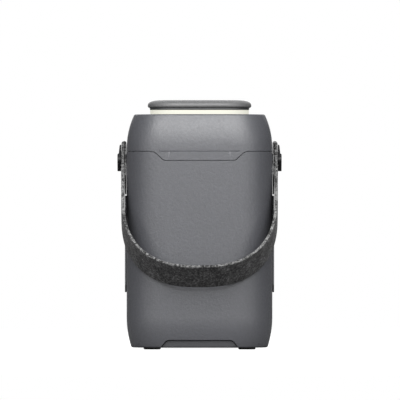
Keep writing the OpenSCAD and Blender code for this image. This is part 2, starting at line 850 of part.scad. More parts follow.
module lamp_cap() {
    top = cap_z + cap_h;
    crown = [[1.7, cap_z], [0.5, cap_z + 0.3], [0, cap_z + 1.1], [0, cap_z + 2.2], [0.4, cap_z + 3.4],
             [1.4, cap_z + 4.4], [3.2, cap_z + 5.2], [6, top - 0.35], [9.5, top - 0.05], [11, top]];
    color(case_grey) {
        difference() {
            rounded_sweep(lamp_hx, lamp_hy, lamp_r, crown);
            rounded_block(inner_hx - 1, inner_hy - 1, inner_r - 1, 0, cap_z + 3.4);
        }
        for (x = [-22, 22], y = [-22, 22]) translate([x, y, board_top + 0.05])
            cylinder(r = 3, h = top - 2 - board_top);
    }
}

module lamp_trim_ring() {
    color(dark_grey) difference() {
        rounded_sweep(lamp_hx, lamp_hy, lamp_r, [[2.4, board_top], [1.7, board_top + 0.6], [1.7, cap_z]]);
        rounded_block(inner_hx + 0.1, inner_hy + 0.1, inner_r + 0.1, 0, far);
    }
}

module lamp_diffuser() {
    color(milky) difference() {
        rounded_block(lamp_hx - diffuser_in, lamp_hy - diffuser_in, lamp_r - diffuser_in, diffuser_low, board_top);
        rounded_block(inner_hx, inner_hy, inner_r, 0, far);
    }
}

module lamp_board() {
    led = 2.4;
    low = board_top - lamp_board_t;
    color(board_green) rounded_block(inner_hx - 0.4, inner_hy - 0.4, inner_r - 0.4, low, board_top);
    color(milky) for (i = [0:5], s = [-1, 1]) {
        translate([-20 + 8 * i - led / 2, s * (inner_hy - 3) - led / 2, low - 0.9]) cube([led, led, 1]);
        translate([s * (inner_hx - 3) - led / 2, -20 + 8 * i - led / 2, low - 0.9]) cube([led, led, 1]);
    }
}

module lamp_carrier() {
    low = board_top - lamp_board_t;
    color(dark_grey) difference() {
        union() {
            rounded_block(inner_hx - 0.2, inner_hy - 0.2, inner_r - 0.2, carrier_z, carrier_z + carrier_t);
            for (x = [-16, 16], y = [-22, 22]) translate([x, y, carrier_z])
                cylinder(r = 3, h = low - carrier_z - 0.05);
            translate([latch_x - 1, -2, tray_floor - 1.5]) cube([2, 4, carrier_z - tray_floor + 2]);
        }
        for (g = guides) translate([g.x, g.y, 0]) cylinder(r = guide_r + run, h = far);
    }
}

spring_r = 8;
spring_wire = 0.4;
spring_turns = 4;
spring_sides = 6;
spring_rings = 72;

// Compression spring under the carrier: one wire swept along a helix.
module lamp_spring() {
    low = tray_floor + tray_floor_t + spring_wire + 0.05;
    rise = carrier_z - low - spring_wire - 0.05;
    points = [for (i = [0:spring_rings], j = [0:spring_sides - 1])
        let (a = 360 * spring_turns * i / spring_rings, b = 360 * j / spring_sides,
             r = spring_r + spring_wire * cos(b))
        [r * cos(a), r * sin(a), low + rise * i / spring_rings + spring_wire * sin(b)]];
    walls = [for (i = [0:spring_rings - 1], j = [0:spring_sides - 1])
        let (k = (j + 1) % spring_sides, m = i * spring_sides)
        [m + j, m + spring_sides + j, m + spring_sides + k, m + k]];
    first = [for (j = [0:spring_sides - 1]) j];
    last = [for (j = [spring_sides - 1:-1:0]) spring_rings * spring_sides + j];
    color(metal) polyhedron(points, concat(walls, [first, last]));
}

module lamp_tray() {
    color(dark_grey) difference() {
        union() {
            difference() {
                rounded_block(tray_hx + tray_t, tray_hy + tray_t, tray_r + tray_t, tray_floor, roof_z - 0.1);
                rounded_block(tray_hx, tray_hy, tray_r, tray_floor + tray_floor_t, far);
            }
            for (p = tray_ears) translate([p.x, p.y, roof_z - 7]) cylinder(r = 3.6, h = 6.9);
            for (g = guides) translate([g.x, g.y, tray_floor]) cylinder(r = guide_r, h = 16.4);
        }
        for (p = tray_ears) translate([p.x, p.y, 0]) cylinder(r = 1.6, h = far);
        translate([latch_x - 1.4, -2.4, 0]) cube([2.8, 4.8, tray_floor + 5]);
    }
}

module tray_screws() {
    color(metal) for (p = tray_ears) translate([p.x, p.y, roof_z - 9.1]) {
        cylinder(r = 2.6, h = 2);
        cylinder(r = 1.2, h = 11.4);
    }
}

module lamp_latch() {
    depth = 12;
    color(black) difference() {
        translate([latch_x - 5, -6, tray_floor - depth]) cube([10, 12, depth - 0.05]);
        translate([latch_x - 1.4, -2.4, tray_floor - depth + 2]) cube([2.8, 4.8, depth]);
    }
}

// ---------- Battery pack ----------

pack_low = -47;                     // back face of the cells
pack_front = pack_low + cell_d;
plate_t = 3;
band_t = 0.8;
band_half = 4.5;
pack_base = cradle_top + band_t + 0.05;
cells_z = pack_base + plate_t;
pack_top = cells_z + cell_count * cell_h;
terminal_x = 20;

module battery_cells() {
    for (i = [0:cell_count - 1]) translate([0, pack_low, cells_z + i * cell_h]) {
        color(cell_blue) translate([-cell_w / 2, 0, 0.15]) cube([cell_w, cell_d, cell_h - 0.3]);
        color(metal) for (s = [-1, 1]) translate([s * terminal_x - 4, cell_d - 0.5, cell_h / 2 - 3])
            cube([8, 1.7, 6]);
    }
}

module pack_plate(z) {
    color(black) translate([-cell_w / 2, pack_low, z]) cube([cell_w, cell_d, plate_t]);
}

module pack_bands() {
    high = pack_top + plate_t;
    color(metal) for (s = [-1, 1]) translate([s * cradle_x - band_half, 0, 0]) difference() {
        translate([0, pack_low - band_t - 0.05, pack_base - band_t - 0.05])
            cube([2 * band_half, cell_d + 2 * band_t + 0.1, high - pack_base + 2 * band_t + 0.1]);
        translate([-1, pack_low - 0.05, pack_base - 0.05])
            cube([2 * band_half + 2, cell_d + 0.1, high - pack_base + 0.1]);
    }
}

module busbars() {
    y = pack_front + 1.25;
    color(brass) for (i = [0:cell_count - 2]) {
        s = i % 2 == 0 ? 1 : -1;
        translate([s * terminal_x - 5, y, cells_z + cell_h * (i + 0.5) - 4])
            cube([10, 1, cell_h + 8]);
    }
}

module bms_board() {
    color(board_green) translate([-30, pack_front + 2.6, cells_z + 4 * cell_h - 2])
        cube([60, 1.6, 3.8 * cell_h]);
}

// ---------- Boards behind the front panel ----------

board_t = 1.6;
board_low = fascia_low + 3;
board_high = fascia_high - 2;

module main_board() {
    color(board_green) difference() {
        translate([-37, board_y - board_t, board_low]) cube([74, board_t, board_high - board_low]);
        translate([car_x, 0, car_z]) rod_y(barrel_r + 0.4, 0, far);
        for (p = board_posts) translate([p.x, 0, p.y]) rod_y(1.5, 0, far);
    }
}

module board_screws() {
    color(metal) for (p = board_posts) translate([p.x, 0, p.y]) {
        rod_y(2.4, board_y - board_t - 1.5, board_y - board_t - 0.05);
        rod_y(post_hole - 0.05, board_y - board_t - 1, board_y + 6);
    }
}

module board_components() {
    back = board_y - board_t - 0.1;
    for (x = [-22, -8, 6]) translate([x, 0, board_high - 14]) color(cell_blue) rod_y(5, back - 13, back);
    color(dark_grey) for (x = [-20, 0, 20]) translate([x, 0, board_high - 36]) box_y(14, 14, back - 8, back);
}

module heat_sink() {
    back = board_y - board_t - 0.1;
    low = port_row_2 - 8;
    color(metal) {
        translate([-28, back - 3, low]) cube([56, 3, 26]);
        for (i = [0:8]) translate([-28 + i * 6.8, back - 12, low]) cube([1.6, 9.5, 26]);
    }
}

// ---------- Fan ----------

fan_half = 20;
fan_t = 10;
fan_out = inner_w - 0.6;
fan_z = (grille_low + grille_high) / 2;
fan_back = fan_out - fan_t;

module fan_frame() {
    color(black) translate([0, 0, fan_z]) difference() {
        union() {
            difference() {
                translate([fan_back, -fan_half, -fan_half]) cube([fan_t, 2 * fan_half, 2 * fan_half]);
                rod_x(18.6, fan_back - 1, fan_out + 1);
            }
            rod_x(9, fan_back, fan_back + 1.2);
            for (a = [30, 150, 270]) rotate([a, 0, 0]) translate([fan_back, -0.8, 8]) cube([1.2, 1.6, 11.4]);
            rod_x(2.2, fan_back, fan_back + 5.6);
        }
        rod_x(1 + run, fan_back + 1.2, far);
        for (y = [-16, 16], z = [-16, 16]) translate([0, y, z]) rod_x(1.7, fan_back - 1, fan_out + 1);
    }
}

module fan_rotor() {
    hub_low = fan_back + 1.8;
    hub_high = fan_out - 0.8;
    color(dark_grey) translate([0, 0, fan_z]) {
        difference() {
            rod_x(9.4, hub_low, hub_high);
            rod_x(8.2, hub_low - 1, hub_high - 1.2);
        }
        rod_x(1, fan_back + 1.6, hub_high - 1);
        for (i = [0:6]) rotate([360 / 7 * i, 0, 0]) translate([(hub_low + hub_high) / 2, 0, 9])
            rotate([0, 0, 38]) translate([-4, -0.6, 0]) cube([8, 1.2, 9]);
    }
}

// ---------- Nodes ----------

rear_shell();
front_shell();
top_cover();
base_cover();
foot(-1, -1);  // foot_rear_left
foot(1, -1);  // foot_rear_right
foot(-1, 1);  // foot_front_left
foot(1, 1);  // foot_front_right
side_grille(-1);  // side_grille_left
side_grille(1);  // side_grille_right
front_fascia();
display_window();
display_module();
control_board();
power_button();
side_button(-1);  // lamp_button
side_button(1);  // output_button
usb_c_port(usb_c_ports[0]);  // usb_c_port_1
usb_c_port(usb_c_ports[1]);  // usb_c_port_2
usb_c_port(usb_c_ports[2]);  // usb_c_port_3
usb_c_port(usb_c_ports[3]);  // usb_c_port_4
usb_a_port(usb_a_ports[0]);  // usb_a_port_1
usb_a_port(usb_a_ports[1]);  // usb_a_port_2
car_socket_barrel();
car_socket_contact();
car_socket_cover();
cover_pin(car_x, car_z + car_cover_r);  // car_socket_pin
dc_input_socket();
dc_input_contacts();
dc_input_cover();
cover_pin(dc_x, dc_z + dc_cover_hz);  // dc_input_pin
strap_anchor(-1);  // strap_anchor_left
strap_anchor(1);  // strap_anchor_right
strap_screw(-1);  // strap_screw_left
strap_screw(1);  // strap_screw_right
strap_webbing();
strap_hook(-1);  // strap_hook_left
strap_hook(1);  // strap_hook_right
lamp_cap();
lamp_trim_ring();
lamp_diffuser();
lamp_board();
lamp_carrier();
lamp_spring();
lamp_tray();
lamp_latch();
battery_cells();
pack_plate(pack_base);  // pack_plate_lower
pack_plate(pack_top);  // pack_plate_upper
pack_bands();
busbars();
bms_board();
main_board();
board_components();
heat_sink();
fan_frame();
fan_rotor();
base_screws();
board_screws();
tray_screws();
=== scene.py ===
"""Looks of a portable power station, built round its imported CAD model.

Lengths are in metres in the model's frame: +Z up, the plain back faces -Y and the ports face +Y.
Hard pieces are bevelled copies of the CAD nodes. The strap, its stitches, the display's segments
and the symbols on the buttons are modelled here. Every surface has a procedural material.
"""

import json
import math
import random

import bmesh
import bpy
import numpy as np
from mathutils import Matrix, Vector

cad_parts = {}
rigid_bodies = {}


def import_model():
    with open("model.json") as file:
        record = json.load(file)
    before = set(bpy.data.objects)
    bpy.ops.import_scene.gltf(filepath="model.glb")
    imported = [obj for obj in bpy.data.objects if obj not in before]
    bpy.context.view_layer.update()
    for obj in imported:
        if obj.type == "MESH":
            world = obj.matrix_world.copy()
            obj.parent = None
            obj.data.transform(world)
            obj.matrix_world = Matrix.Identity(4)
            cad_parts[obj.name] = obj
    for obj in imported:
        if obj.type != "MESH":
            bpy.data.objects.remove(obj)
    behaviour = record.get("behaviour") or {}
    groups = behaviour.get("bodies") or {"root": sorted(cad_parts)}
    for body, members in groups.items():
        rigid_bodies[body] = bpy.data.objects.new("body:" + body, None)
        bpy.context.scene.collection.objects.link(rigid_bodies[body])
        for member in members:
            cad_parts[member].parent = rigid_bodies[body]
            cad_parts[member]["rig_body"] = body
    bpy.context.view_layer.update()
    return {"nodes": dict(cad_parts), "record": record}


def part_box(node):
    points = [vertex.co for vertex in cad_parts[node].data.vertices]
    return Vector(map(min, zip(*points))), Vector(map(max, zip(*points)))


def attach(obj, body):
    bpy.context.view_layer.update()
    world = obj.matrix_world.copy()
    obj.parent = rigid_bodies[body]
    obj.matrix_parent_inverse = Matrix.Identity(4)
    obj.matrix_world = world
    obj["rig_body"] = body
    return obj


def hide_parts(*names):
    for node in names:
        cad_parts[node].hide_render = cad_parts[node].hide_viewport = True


MM = 0.001
SEED = 11

# ---------- Named sizes, as in the CAD source ----------

HALF_W = 60.5 * MM
PIVOT_Z = 158 * MM
STRAP_W = 28 * MM
STRAP_T = 2.6 * MM
FOLD_T = 1.3 * MM  # the folded-in layer
BAND_T = 2.75 * MM  # the webbing swells a little beyond its pressed thickness
WEBBING_IN = HALF_W + 1.9 * MM  # inner face of the webbing
FOLD_MID = HALF_W + 0.9 * MM  # middle of the folded end
FOLD_S = 26 * MM
FOLD_R = 30.05 * MM  # the folded-in layer ends in an arc round the pivot, just clear of the grille
END_S = 8.4 * MM  # the folded end above the pivot
ARM_LEN = 50 * MM
LOOP_DEPTH = 123 * MM
LOOP_POWER = 2.5
HUB_R = 6.0 * MM

# ---------- Camera and light ----------

CAMERA_DISTANCE = 10.0
VIEW_WIDTH = 0.333
VIEW_HEIGHT = 0.1239
SENSOR = 36.0
WORLD_LEVEL = 0.08
# Softboxes round the object: name, azimuth from the back, elevation, width, height, power, seen in gloss.
SOFTBOXES = (
    ("key_back", 0, 40, 2.2, 0.85, 56, True),
    ("wrap_back_left", -50, 8, 1.0, 0.6, 4.4, True),
    ("wrap_back_middle", 0, 4, 1.1, 0.6, 4.0, True),
    ("wrap_back_right", 50, 8, 1.0, 0.6, 4.4, True),
    ("key_front", 180, 48, 1.4, 0.85, 34, False),
    ("sheen_front", 180, 30, 1.4, 0.6, 3.0, True),
    ("low_front", 180, 4, 0.9, 0.5, 1.4, True),
)


# ---------- Material helpers ----------


class Shader:
    """Builds one node material round a Principled BSDF."""

    def __init__(self, name, **uniform):
        self.material = bpy.data.materials.new(name)
        self.material.use_nodes = True
        self.tree = self.material.node_tree
        self.surface = self.tree.nodes["Principled BSDF"]
        for key, value in uniform.items():
            self.surface.inputs[key.replace("_", " ")].default_value = value

    def node(self, kind, inputs=None, **settings):
        made = self.tree.nodes.new("ShaderNode" + kind)
        for key, value in settings.items():
            setattr(made, key, value)
        for key, value in (inputs or {}).items():
            self.feed(made.inputs[key], value)
        return made

    def feed(self, socket, value):
        if isinstance(value, bpy.types.NodeSocket):
            self.tree.links.new(value, socket)
        else:
            socket.default_value = value

    def math(self, operation, a, b=0.0, c=0.0, clamp=False):
        made = self.node("Math", {0: a, 1: b, 2: c}, operation=operation, use_clamp=clamp)
        return made.outputs[0]

    def place(self):
        return self.node("TexCoord").outputs["Object"]

    def noise(self, scale, detail=2.0, vector=None, roughness=0.5):
        inputs = {"Scale": scale, "Detail": detail, "Roughness": roughness}
        inputs["Vector"] = self.place() if vector is None else vector
        return self.node("TexNoise", inputs).outputs["Fac"]

    def ramp(self, value, low, high, to_low=0.0, to_high=1.0):
        inputs = {"Value": value, 1: low, 2: high, 3: to_low, 4: to_high}
        return self.node("MapRange", inputs).outputs["Result"]

    def mix(self, fac, a, b):
        made = self.node("Mix", data_type="RGBA")
        self.feed(made.inputs["Factor"], fac)
        self.feed(made.inputs[6], a)
        self.feed(made.inputs[7], b)
        return made.outputs[2]

    def bump(self, height, distance, strength=1.0, normal=None):
        inputs = {"Height": height, "Distance": distance, "Strength": strength}
        if normal is not None:
            inputs["Normal"] = normal
        return self.node("Bump", inputs).outputs["Normal"]

    def wire(self, color=None, roughness=None, normal=None):
        for name, value in (("Base Color", color), ("Roughness", roughness), ("Normal", normal)):
            if value is not None:
                self.feed(self.surface.inputs[name], value)
        return self.material


def shade(color, factor):
    return (*[min(1.0, c * factor) for c in color[:3]], 1.0)


def moulded_plastic(name, color, grain=0.45, depth=0.05, rough=(0.35, 0.50), mottle=0.12, **uniform):
    """Moulded plastic with a spark-eroded skin: grain in mm, and depth of the pits in mm."""
    s = Shader(name, **uniform)
    fine = s.noise(1 / (grain * MM), 3.0, roughness=0.6)
    coarse = s.noise(1 / (4.5 * grain * MM), 3.0, roughness=0.65)
    cloud = s.noise(1 / (22 * MM), 2.0)
    tone = s.math("ADD", s.math("MULTIPLY", fine, 0.35), s.math("MULTIPLY", coarse, 0.50))
    tone = s.math("ADD", tone, s.math("MULTIPLY", cloud, 0.15))
    tone = s.ramp(tone, 0.38, 0.62)
    base = s.mix(tone, shade(color, 1 - mottle), shade(color, 1 + mottle))
    normal = s.bump(fine, depth * MM)
    normal = s.bump(coarse, 3.2 * depth * MM, 1.0, normal)
    return s.wire(base, s.ramp(tone, 0.0, 1.0, rough[1], rough[0]), normal)


def smooth_plastic(name, color, rough=(0.25, 0.36), **uniform):
    """Polished or satin plastic with faint flow marks and handling scuffs."""
    s = Shader(name, **uniform)
    flow = s.noise(1 / (9 * MM), 4.0)
    scuff = s.noise(1 / (0.9 * MM), 6.0, roughness=0.7)
    base = s.mix(flow, shade(color, 0.92), shade(color, 1.08))
    blend = s.math("MULTIPLY", flow, scuff)
    return s.wire(base, s.ramp(blend, 0.1, 0.45, rough[0], rough[1]), s.bump(scuff, 0.006 * MM))


def metal(name, color, rough=(0.22, 0.34), stretch=(1, 1, 18), anisotropic=0.0):
    """Metal with fine drawn lines along the axis that stretch squeezes least."""
    s = Shader(name, Metallic=1.0, Anisotropic=anisotropic)
    mapped = s.node("Mapping", {"Vector": s.place(), "Scale": stretch}).outputs["Vector"]
    lines = s.noise(1 / (2.5 * MM), 4.0, mapped)
    cloud = s.noise(1 / (6 * MM), 3.0)
    base = s.mix(cloud, shade(color, 0.9), shade(color, 1.05))
    return s.wire(base, s.ramp(lines, 0.3, 0.7, rough[0], rough[1]), s.bump(lines, 0.004 * MM))


def soft_rubber(name, color):
    s = Shader(name)
    dust = s.noise(1 / (1.3 * MM), 5.0, roughness=0.7)
    base = s.mix(s.ramp(dust, 0.45, 0.7), shade(color, 0.9), shade(color, 1.7))
    return s.wire(base, s.ramp(dust, 0.3, 0.7, 0.62, 0.8), s.bump(dust, 0.03 * MM))


def circuit_board(name, color):
    """Solder mask with pads and tracks on a regular grid."""
    s = Shader(name, Coat_Weight=0.3, Coat_Roughness=0.15)
    tracks = s.node("TexBrick", {"Vector": s.place(), "Scale": 260.0, "Mortar Size": 0.03})
    fleck = s.noise(1 / (2 * MM), 3.0)
    dark, light = shade(color, 0.75), shade(color, 1.35)
    base = s.mix(tracks.outputs["Fac"], s.mix(fleck, dark, color + (1.0,)), light)
    return s.wire(base, s.ramp(fleck, 0.3, 0.7, 0.28, 0.42), s.bump(tracks.outputs["Fac"], 0.03 * MM))


def lit_diffuser(name):
    """Milky plastic lit from inside, its glow a little uneven in tint."""
    s = Shader(name, Roughness=0.6, Specular_IOR_Level=0.2, Emission_Strength=0.52)
    cloud = s.noise(1 / (14 * MM), 2.0)
    glow = s.mix(cloud, (1.0, 0.99, 0.84, 1.0), (1.0, 0.995, 0.88, 1.0))
    s.feed(s.surface.inputs["Emission Color"], glow)
    grain = s.noise(1 / (0.5 * MM), 2.0)
    return s.wire((0.16, 0.158, 0.14, 1.0), None, s.bump(grain, 0.01 * MM))


def webbing(name):
    """Heathered plain weave. The UV map holds metres along the strap and across it."""
    s = Shader(name, Sheen_Weight=0.04, Sheen_Roughness=0.5, Specular_IOR_Level=0.2)
    uv = s.node("SeparateXYZ", {"Vector": s.node("TexCoord").outputs["UV"]})
    along, across = uv.outputs["X"], uv.outputs["Y"]
    wobble = s.math("MULTIPLY", s.noise(1 / (4 * MM), 2.0), 0.5)
    a = s.math("ADD", s.math("MULTIPLY", along, math.pi / (1.15 * MM)), wobble)
    b = s.math("ADD", s.math("MULTIPLY", across, math.pi / (0.95 * MM)), wobble)
    sa, sb = s.math("SINE", a), s.math("SINE", b)
    over = s.math("MULTIPLY", sa, sb)
    weft_up = s.ramp(over, -0.25, 0.25)
    height_a, height_b = s.math("ABSOLUTE", sa), s.math("ABSOLUTE", sb)
    crown = s.math("MULTIPLY", height_a, height_b)
    height = s.math("POWER", crown, 0.45)
    fibre_a = s.node("CombineXYZ", {
        "X": s.math("MULTIPLY", along, 500),
        "Y": s.math("MULTIPLY", across, 3200),
    })
    fibre_b = s.node("CombineXYZ", {
        "X": s.math("MULTIPLY", along, 2600),
        "Y": s.math("MULTIPLY", across, 420),
    })
    warp = s.noise(1.0, 3.0, fibre_a.outputs[0], 0.65)
    weft = s.noise(1.0, 3.0, fibre_b.outputs[0], 0.65)
    warp_part = s.math("MULTIPLY", warp, s.math("SUBTRACT", 1.0, weft_up))
    weft_part = s.math("MULTIPLY", weft, weft_up)
    fibre = s.math("ADD", warp_part, weft_part)
    heather = s.noise(1 / (1.9 * MM), 3.0, roughness=0.75)
    cloud = s.noise(1 / (9 * MM), 2.0)
    mixed = s.math("ADD", s.math("MULTIPLY", fibre, 0.45), s.math("MULTIPLY", heather, 0.55))
    mixed = s.math("ADD", mixed, s.math("MULTIPLY", s.math("SUBTRACT", cloud, 0.5), 0.20))
    body = s.mix(s.ramp(mixed, 0.42, 0.58), (0.006, 0.006, 0.0065, 1), (0.074, 0.073, 0.074, 1))
    flecked = s.mix(s.ramp(mixed, 0.57, 0.66, 0.0, 0.9), body, (0.20, 0.20, 0.20, 1))
    # Painted highlight: a band along each edge of the webbing is painted paler, standing in for light
    # catching the edges.
    edge = s.ramp(s.math("ABSOLUTE", across), 13.0 * MM, 13.7 * MM)
    edge_highlight = s.mix(s.ramp(mixed, 0.44, 0.58), (0.006, 0.006, 0.006, 1), (0.14, 0.14, 0.14, 1))
    base = s.mix(edge, flecked, edge_highlight)
    fuzz = s.noise(1 / (0.35 * MM), 4.0, roughness=0.8)
    normal = s.bump(height, 0.16 * MM)
    normal = s.bump(fuzz, 0.10 * MM, 0.8, normal)
    return s.wire(base, s.ramp(fuzz, 0.3, 0.7, 0.80, 0.95), normal)


def thread(name, color):
    s = Shader(name, Sheen_Weight=0.2)
    twist = s.node("TexWave", {"Vector": s.place(), "Scale": 900.0, "Distortion": 1.5}).outputs["Fac"]
    base = s.mix(twist, shade(color, 0.6), shade(color, 1.3))
    return s.wire(base, s.ramp(twist, 0.0, 1.0, 0.6, 0.8), s.bump(twist, 0.05 * MM))


def lit_symbol(name, color, strength):
    s = Shader(name, Roughness=0.5, Emission_Strength=strength)
    cell = s.noise(1 / (0.8 * MM), 2.0)
    s.feed(s.surface.inputs["Emission Color"], s.mix(cell, shade(color, 0.92), shade(color, 1.0)))
    return s.wire(shade(color, 0.6))


def panel_window(name):
    """Smoked acrylic over a dark display."""
    s = Shader(name, Coat_Weight=0.6, Coat_Roughness=0.06)
    cloud = s.noise(1 / (30 * MM), 2.0)
    smear = s.noise(1 / (4 * MM), 5.0, roughness=0.7)
    base = s.mix(cloud, (0.008, 0.009, 0.011, 1), (0.014, 0.015, 0.018, 1))
    return s.wire(base, s.ramp(smear, 0.35, 0.7, 0.10, 0.22))


# ---------- Mesh helpers ----------


def new_object(name, mesh, body, material):
    piece = bpy.data.objects.new(name, mesh)
    bpy.context.scene.collection.objects.link(piece)
    mesh.materials.clear()
    mesh.materials.append(material)
    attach(piece, body)
    return piece


def evaluated(piece):
    """Applies a piece's modifiers to its mesh."""
    graph = bpy.context.evaluated_depsgraph_get()
    mesh = bpy.data.meshes.new_from_object(piece.evaluated_get(graph), depsgraph=graph)
    piece.modifiers.clear()
    old = piece.data
    piece.data = mesh
    bpy.data.meshes.remove(old)
    return piece


def clean_copy(node):
    """The node's mesh with its flat faces joined, ready for bevels."""
    bm = bmesh.new()
    bm.from_mesh(frame["nodes"][node].data)
    bmesh.ops.remove_doubles(bm, verts=bm.verts, dist=2e-6)
    bmesh.ops.dissolve_degenerate(bm, edges=bm.edges, dist=4e-6)
    bmesh.ops.dissolve_limit(bm, angle_limit=math.radians(0.35), verts=bm.verts, edges=bm.edges)
    mesh = bpy.data.meshes.new(node + "_mesh")
    bm.to_mesh(mesh)
    bm.free()
    return mesh


def softened(node, material, width=0.25, segments=2, angle=33):
    """A copy of a CAD node with rounded edges, width in mm, in place of the node."""
    body = frame["nodes"][node]["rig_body"]
    mesh = clean_copy(node)
    for polygon in mesh.polygons:
        polygon.use_smooth = True
    mesh.set_sharp_from_angle(angle=math.radians(angle))
    piece = new_object(node + "_shape", mesh, body, material)
    if width:
        bevel = piece.modifiers.new("edges", "BEVEL")
        bevel.width = width * MM
        bevel.segments = segments
        bevel.limit_method = "ANGLE"
        bevel.angle_limit = math.radians(angle)
        bevel.use_clamp_overlap = False
        bevel.harden_normals = False
        bevel.miter_outer = "MITER_ARC"
    weighted = piece.modifiers.new("normals", "WEIGHTED_NORMAL")
    weighted.weight = 60
    weighted.keep_sharp = True
    evaluated(piece)
    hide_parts(node)
    return piece


def mesh_from(name, verts, faces):
    mesh = bpy.data.meshes.new(name)
    mesh.from_pydata([tuple(v) for v in verts], [], faces)
    mesh.update()
    return mesh


# ---------- Strap ----------


def strap_tilt():
    """The strap's lean from the vertical, read from its joined CAD box."""
    low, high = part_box("strap_webbing")
    depth, half = LOOP_DEPTH + STRAP_T / 2, STRAP_W / 2
    reach = math.hypot(depth, half)
    return math.asin(-low.y / reach) - math.atan2(half, depth)


def loop_point(turn):
    """A point of the strap's middle line, turn going from 0 at one arm to pi at the other."""
    c, s = math.cos(turn), math.sin(turn)
    half = WEBBING_IN + STRAP_T - BAND_T / 2
    depth = LOOP_DEPTH + STRAP_T / 2 - BAND_T / 2 - ARM_LEN
    return (
        half * math.copysign(abs(c) ** (2 / LOOP_POWER), c),
        ARM_LEN + depth * abs(s) ** (2 / LOOP_POWER),
    )


def strap_line():
    """The middle line as (x, distance down the strap, thickness), from folded end to folded end."""
    main_x = WEBBING_IN + STRAP_T - BAND_T / 2
    turn_r = (main_x - FOLD_MID) / 2
    top = -END_S + turn_r + 0.6 * MM
    side = [(FOLD_MID, s, FOLD_T) for s in (FOLD_S - 0.3 * MM, 0.5 * FOLD_S, top)]
    for i in range(1, 8):
        a = math.pi * i / 8
        share = i / 8
        side.append((
            FOLD_MID + turn_r - turn_r * math.cos(a),
            top - turn_r * math.sin(a),
            FOLD_T + (BAND_T - FOLD_T) * share,
        ))
    side += [(main_x, top, BAND_T), (main_x, 20 * MM, BAND_T)]
    loop = [(*loop_point(math.pi * i / 120), BAND_T) for i in range(121)]
    left = [(-x, s, t) for x, s, t in reversed(side)]
    return side + loop + left


def resampled(points, step):
    pts = np.array(points, float)
    gaps = np.linalg.norm(np.diff(pts[:, :2], axis=0), axis=1)
    keep = np.concatenate([[True], gaps > 1e-7])
    pts = pts[keep]
    run = np.concatenate([[0], np.cumsum(np.linalg.norm(np.diff(pts[:, :2], axis=0), axis=1))])
    where = np.linspace(0, run[-1], int(run[-1] / step) + 1)
    return np.stack([np.interp(where, run, pts[:, k]) for k in range(3)], 1), where


def band_section(thickness, steps=5):
    """Round-edged cross-section as (outward, across) points, counter-clockwise."""
    half_t, half_w = thickness / 2, STRAP_W / 2
    r = 0.82 * half_t
    section = []
    for k in range(13):
        section.append((half_t, -half_w + r + (2 * half_w - 2 * r) * k / 12))
    for k in range(1, steps + 1):
        a = math.pi / 2 * k / (steps + 1)
        section.append((half_t - r + r * math.cos(a), half_w - r + r * math.sin(a)))
    for k in range(steps, 0, -1):
        a = math.pi / 2 * k / (steps + 1)
        section.append((-half_t + r - r * math.cos(a), half_w - r + r * math.sin(a)))
    for k in range(13):
        section.append((-half_t, half_w - r - (2 * half_w - 2 * r) * k / 12))
    for k in range(1, steps + 1):
        a = math.pi / 2 * k / (steps + 1)
        section.append((-half_t + r - r * math.cos(a), -half_w + r - r * math.sin(a)))
    for k in range(steps, 0, -1):
        a = math.pi / 2 * k / (steps + 1)
        section.append((half_t - r + r * math.cos(a), -half_w + r - r * math.sin(a)))
    return section


def strap_matrix():
    """From (x, up the strap, across) to the model's frame."""
    turn = math.pi / 2 - strap_tilt()
    return Matrix.Translation((0, 0, PIVOT_Z)) @ Matrix.Rotation(turn, 4, "X")


def arc_ended(x, s, w):
    """The distance down the strap, with the end of the folded-in layer stretched to an arc."""
    start, end = FOLD_S - 6 * MM, FOLD_S - 0.3 * MM
    if abs(x) > FOLD_MID + FOLD_T / 2 + 0.1 * MM or s < start or s > FOLD_S:
        return s
    return s + (s - start) / (end - start) * (math.sqrt(FOLD_R**2 - w**2) - end)


def build_strap(material):
    line, run = resampled(strap_line(), 1.1 * MM)
    tangent = np.gradient(line[:, :2], axis=0)
    tangent /= np.linalg.norm(tangent, axis=1)[:, None]
    normal = np.stack([tangent[:, 1], -tangent[:, 0]], 1)
    to_frame = strap_matrix()
    rng = np.random.default_rng(SEED)
    waver = np.convolve(rng.normal(0, 1, len(line) + 30), np.ones(31) / 31, "valid") * 0.35 * MM
    verts, faces, across_of = [], [], []
    count = len(band_section(STRAP_T))
    for i, (x, s, t) in enumerate(line):
        section = band_section(t)
        fade = min(1.0, min(run[i], run[-1] - run[i]) / (60 * MM))
        for n, w in section:
            edge = abs(w) / (STRAP_W / 2)
            n2 = n * (1 - 0.05 * edge**4)
            w2 = w * 0.992 + waver[i] * fade * 0.4
            px = x + normal[i, 0] * n2
            ps = arc_ended(px, s + normal[i, 1] * n2, w2)
            verts.append(to_frame @ Vector((px, -ps, w2)))
            across_of.append(w)
    for i in range(len(line) - 1):
        for k in range(count):
            j = (k + 1) % count
            faces.append((i * count + k, i * count + j, (i + 1) * count + j, (i + 1) * count + k))
    faces.append(tuple(range(count - 1, -1, -1)))
    last = (len(line) - 1) * count
    faces.append(tuple(last + k for k in range(count)))
    mesh = mesh_from("strap_band", verts, faces)
    layer = mesh.uv_layers.new(name="UVMap")
    for loop in mesh.loops:
        v = loop.vertex_index
        layer.data[loop.index].uv = (run[v // count], across_of[v])
    bm = bmesh.new()
    bm.from_mesh(mesh)
    bmesh.ops.recalc_face_normals(bm, faces=bm.faces)
    bm.to_mesh(mesh)
    bm.free()
    for polygon in mesh.polygons:
        polygon.use_smooth = True
    piece = new_object("strap_band", mesh, "strap", material)
    punch_hub(piece)
    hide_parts("strap_webbing")
    return piece


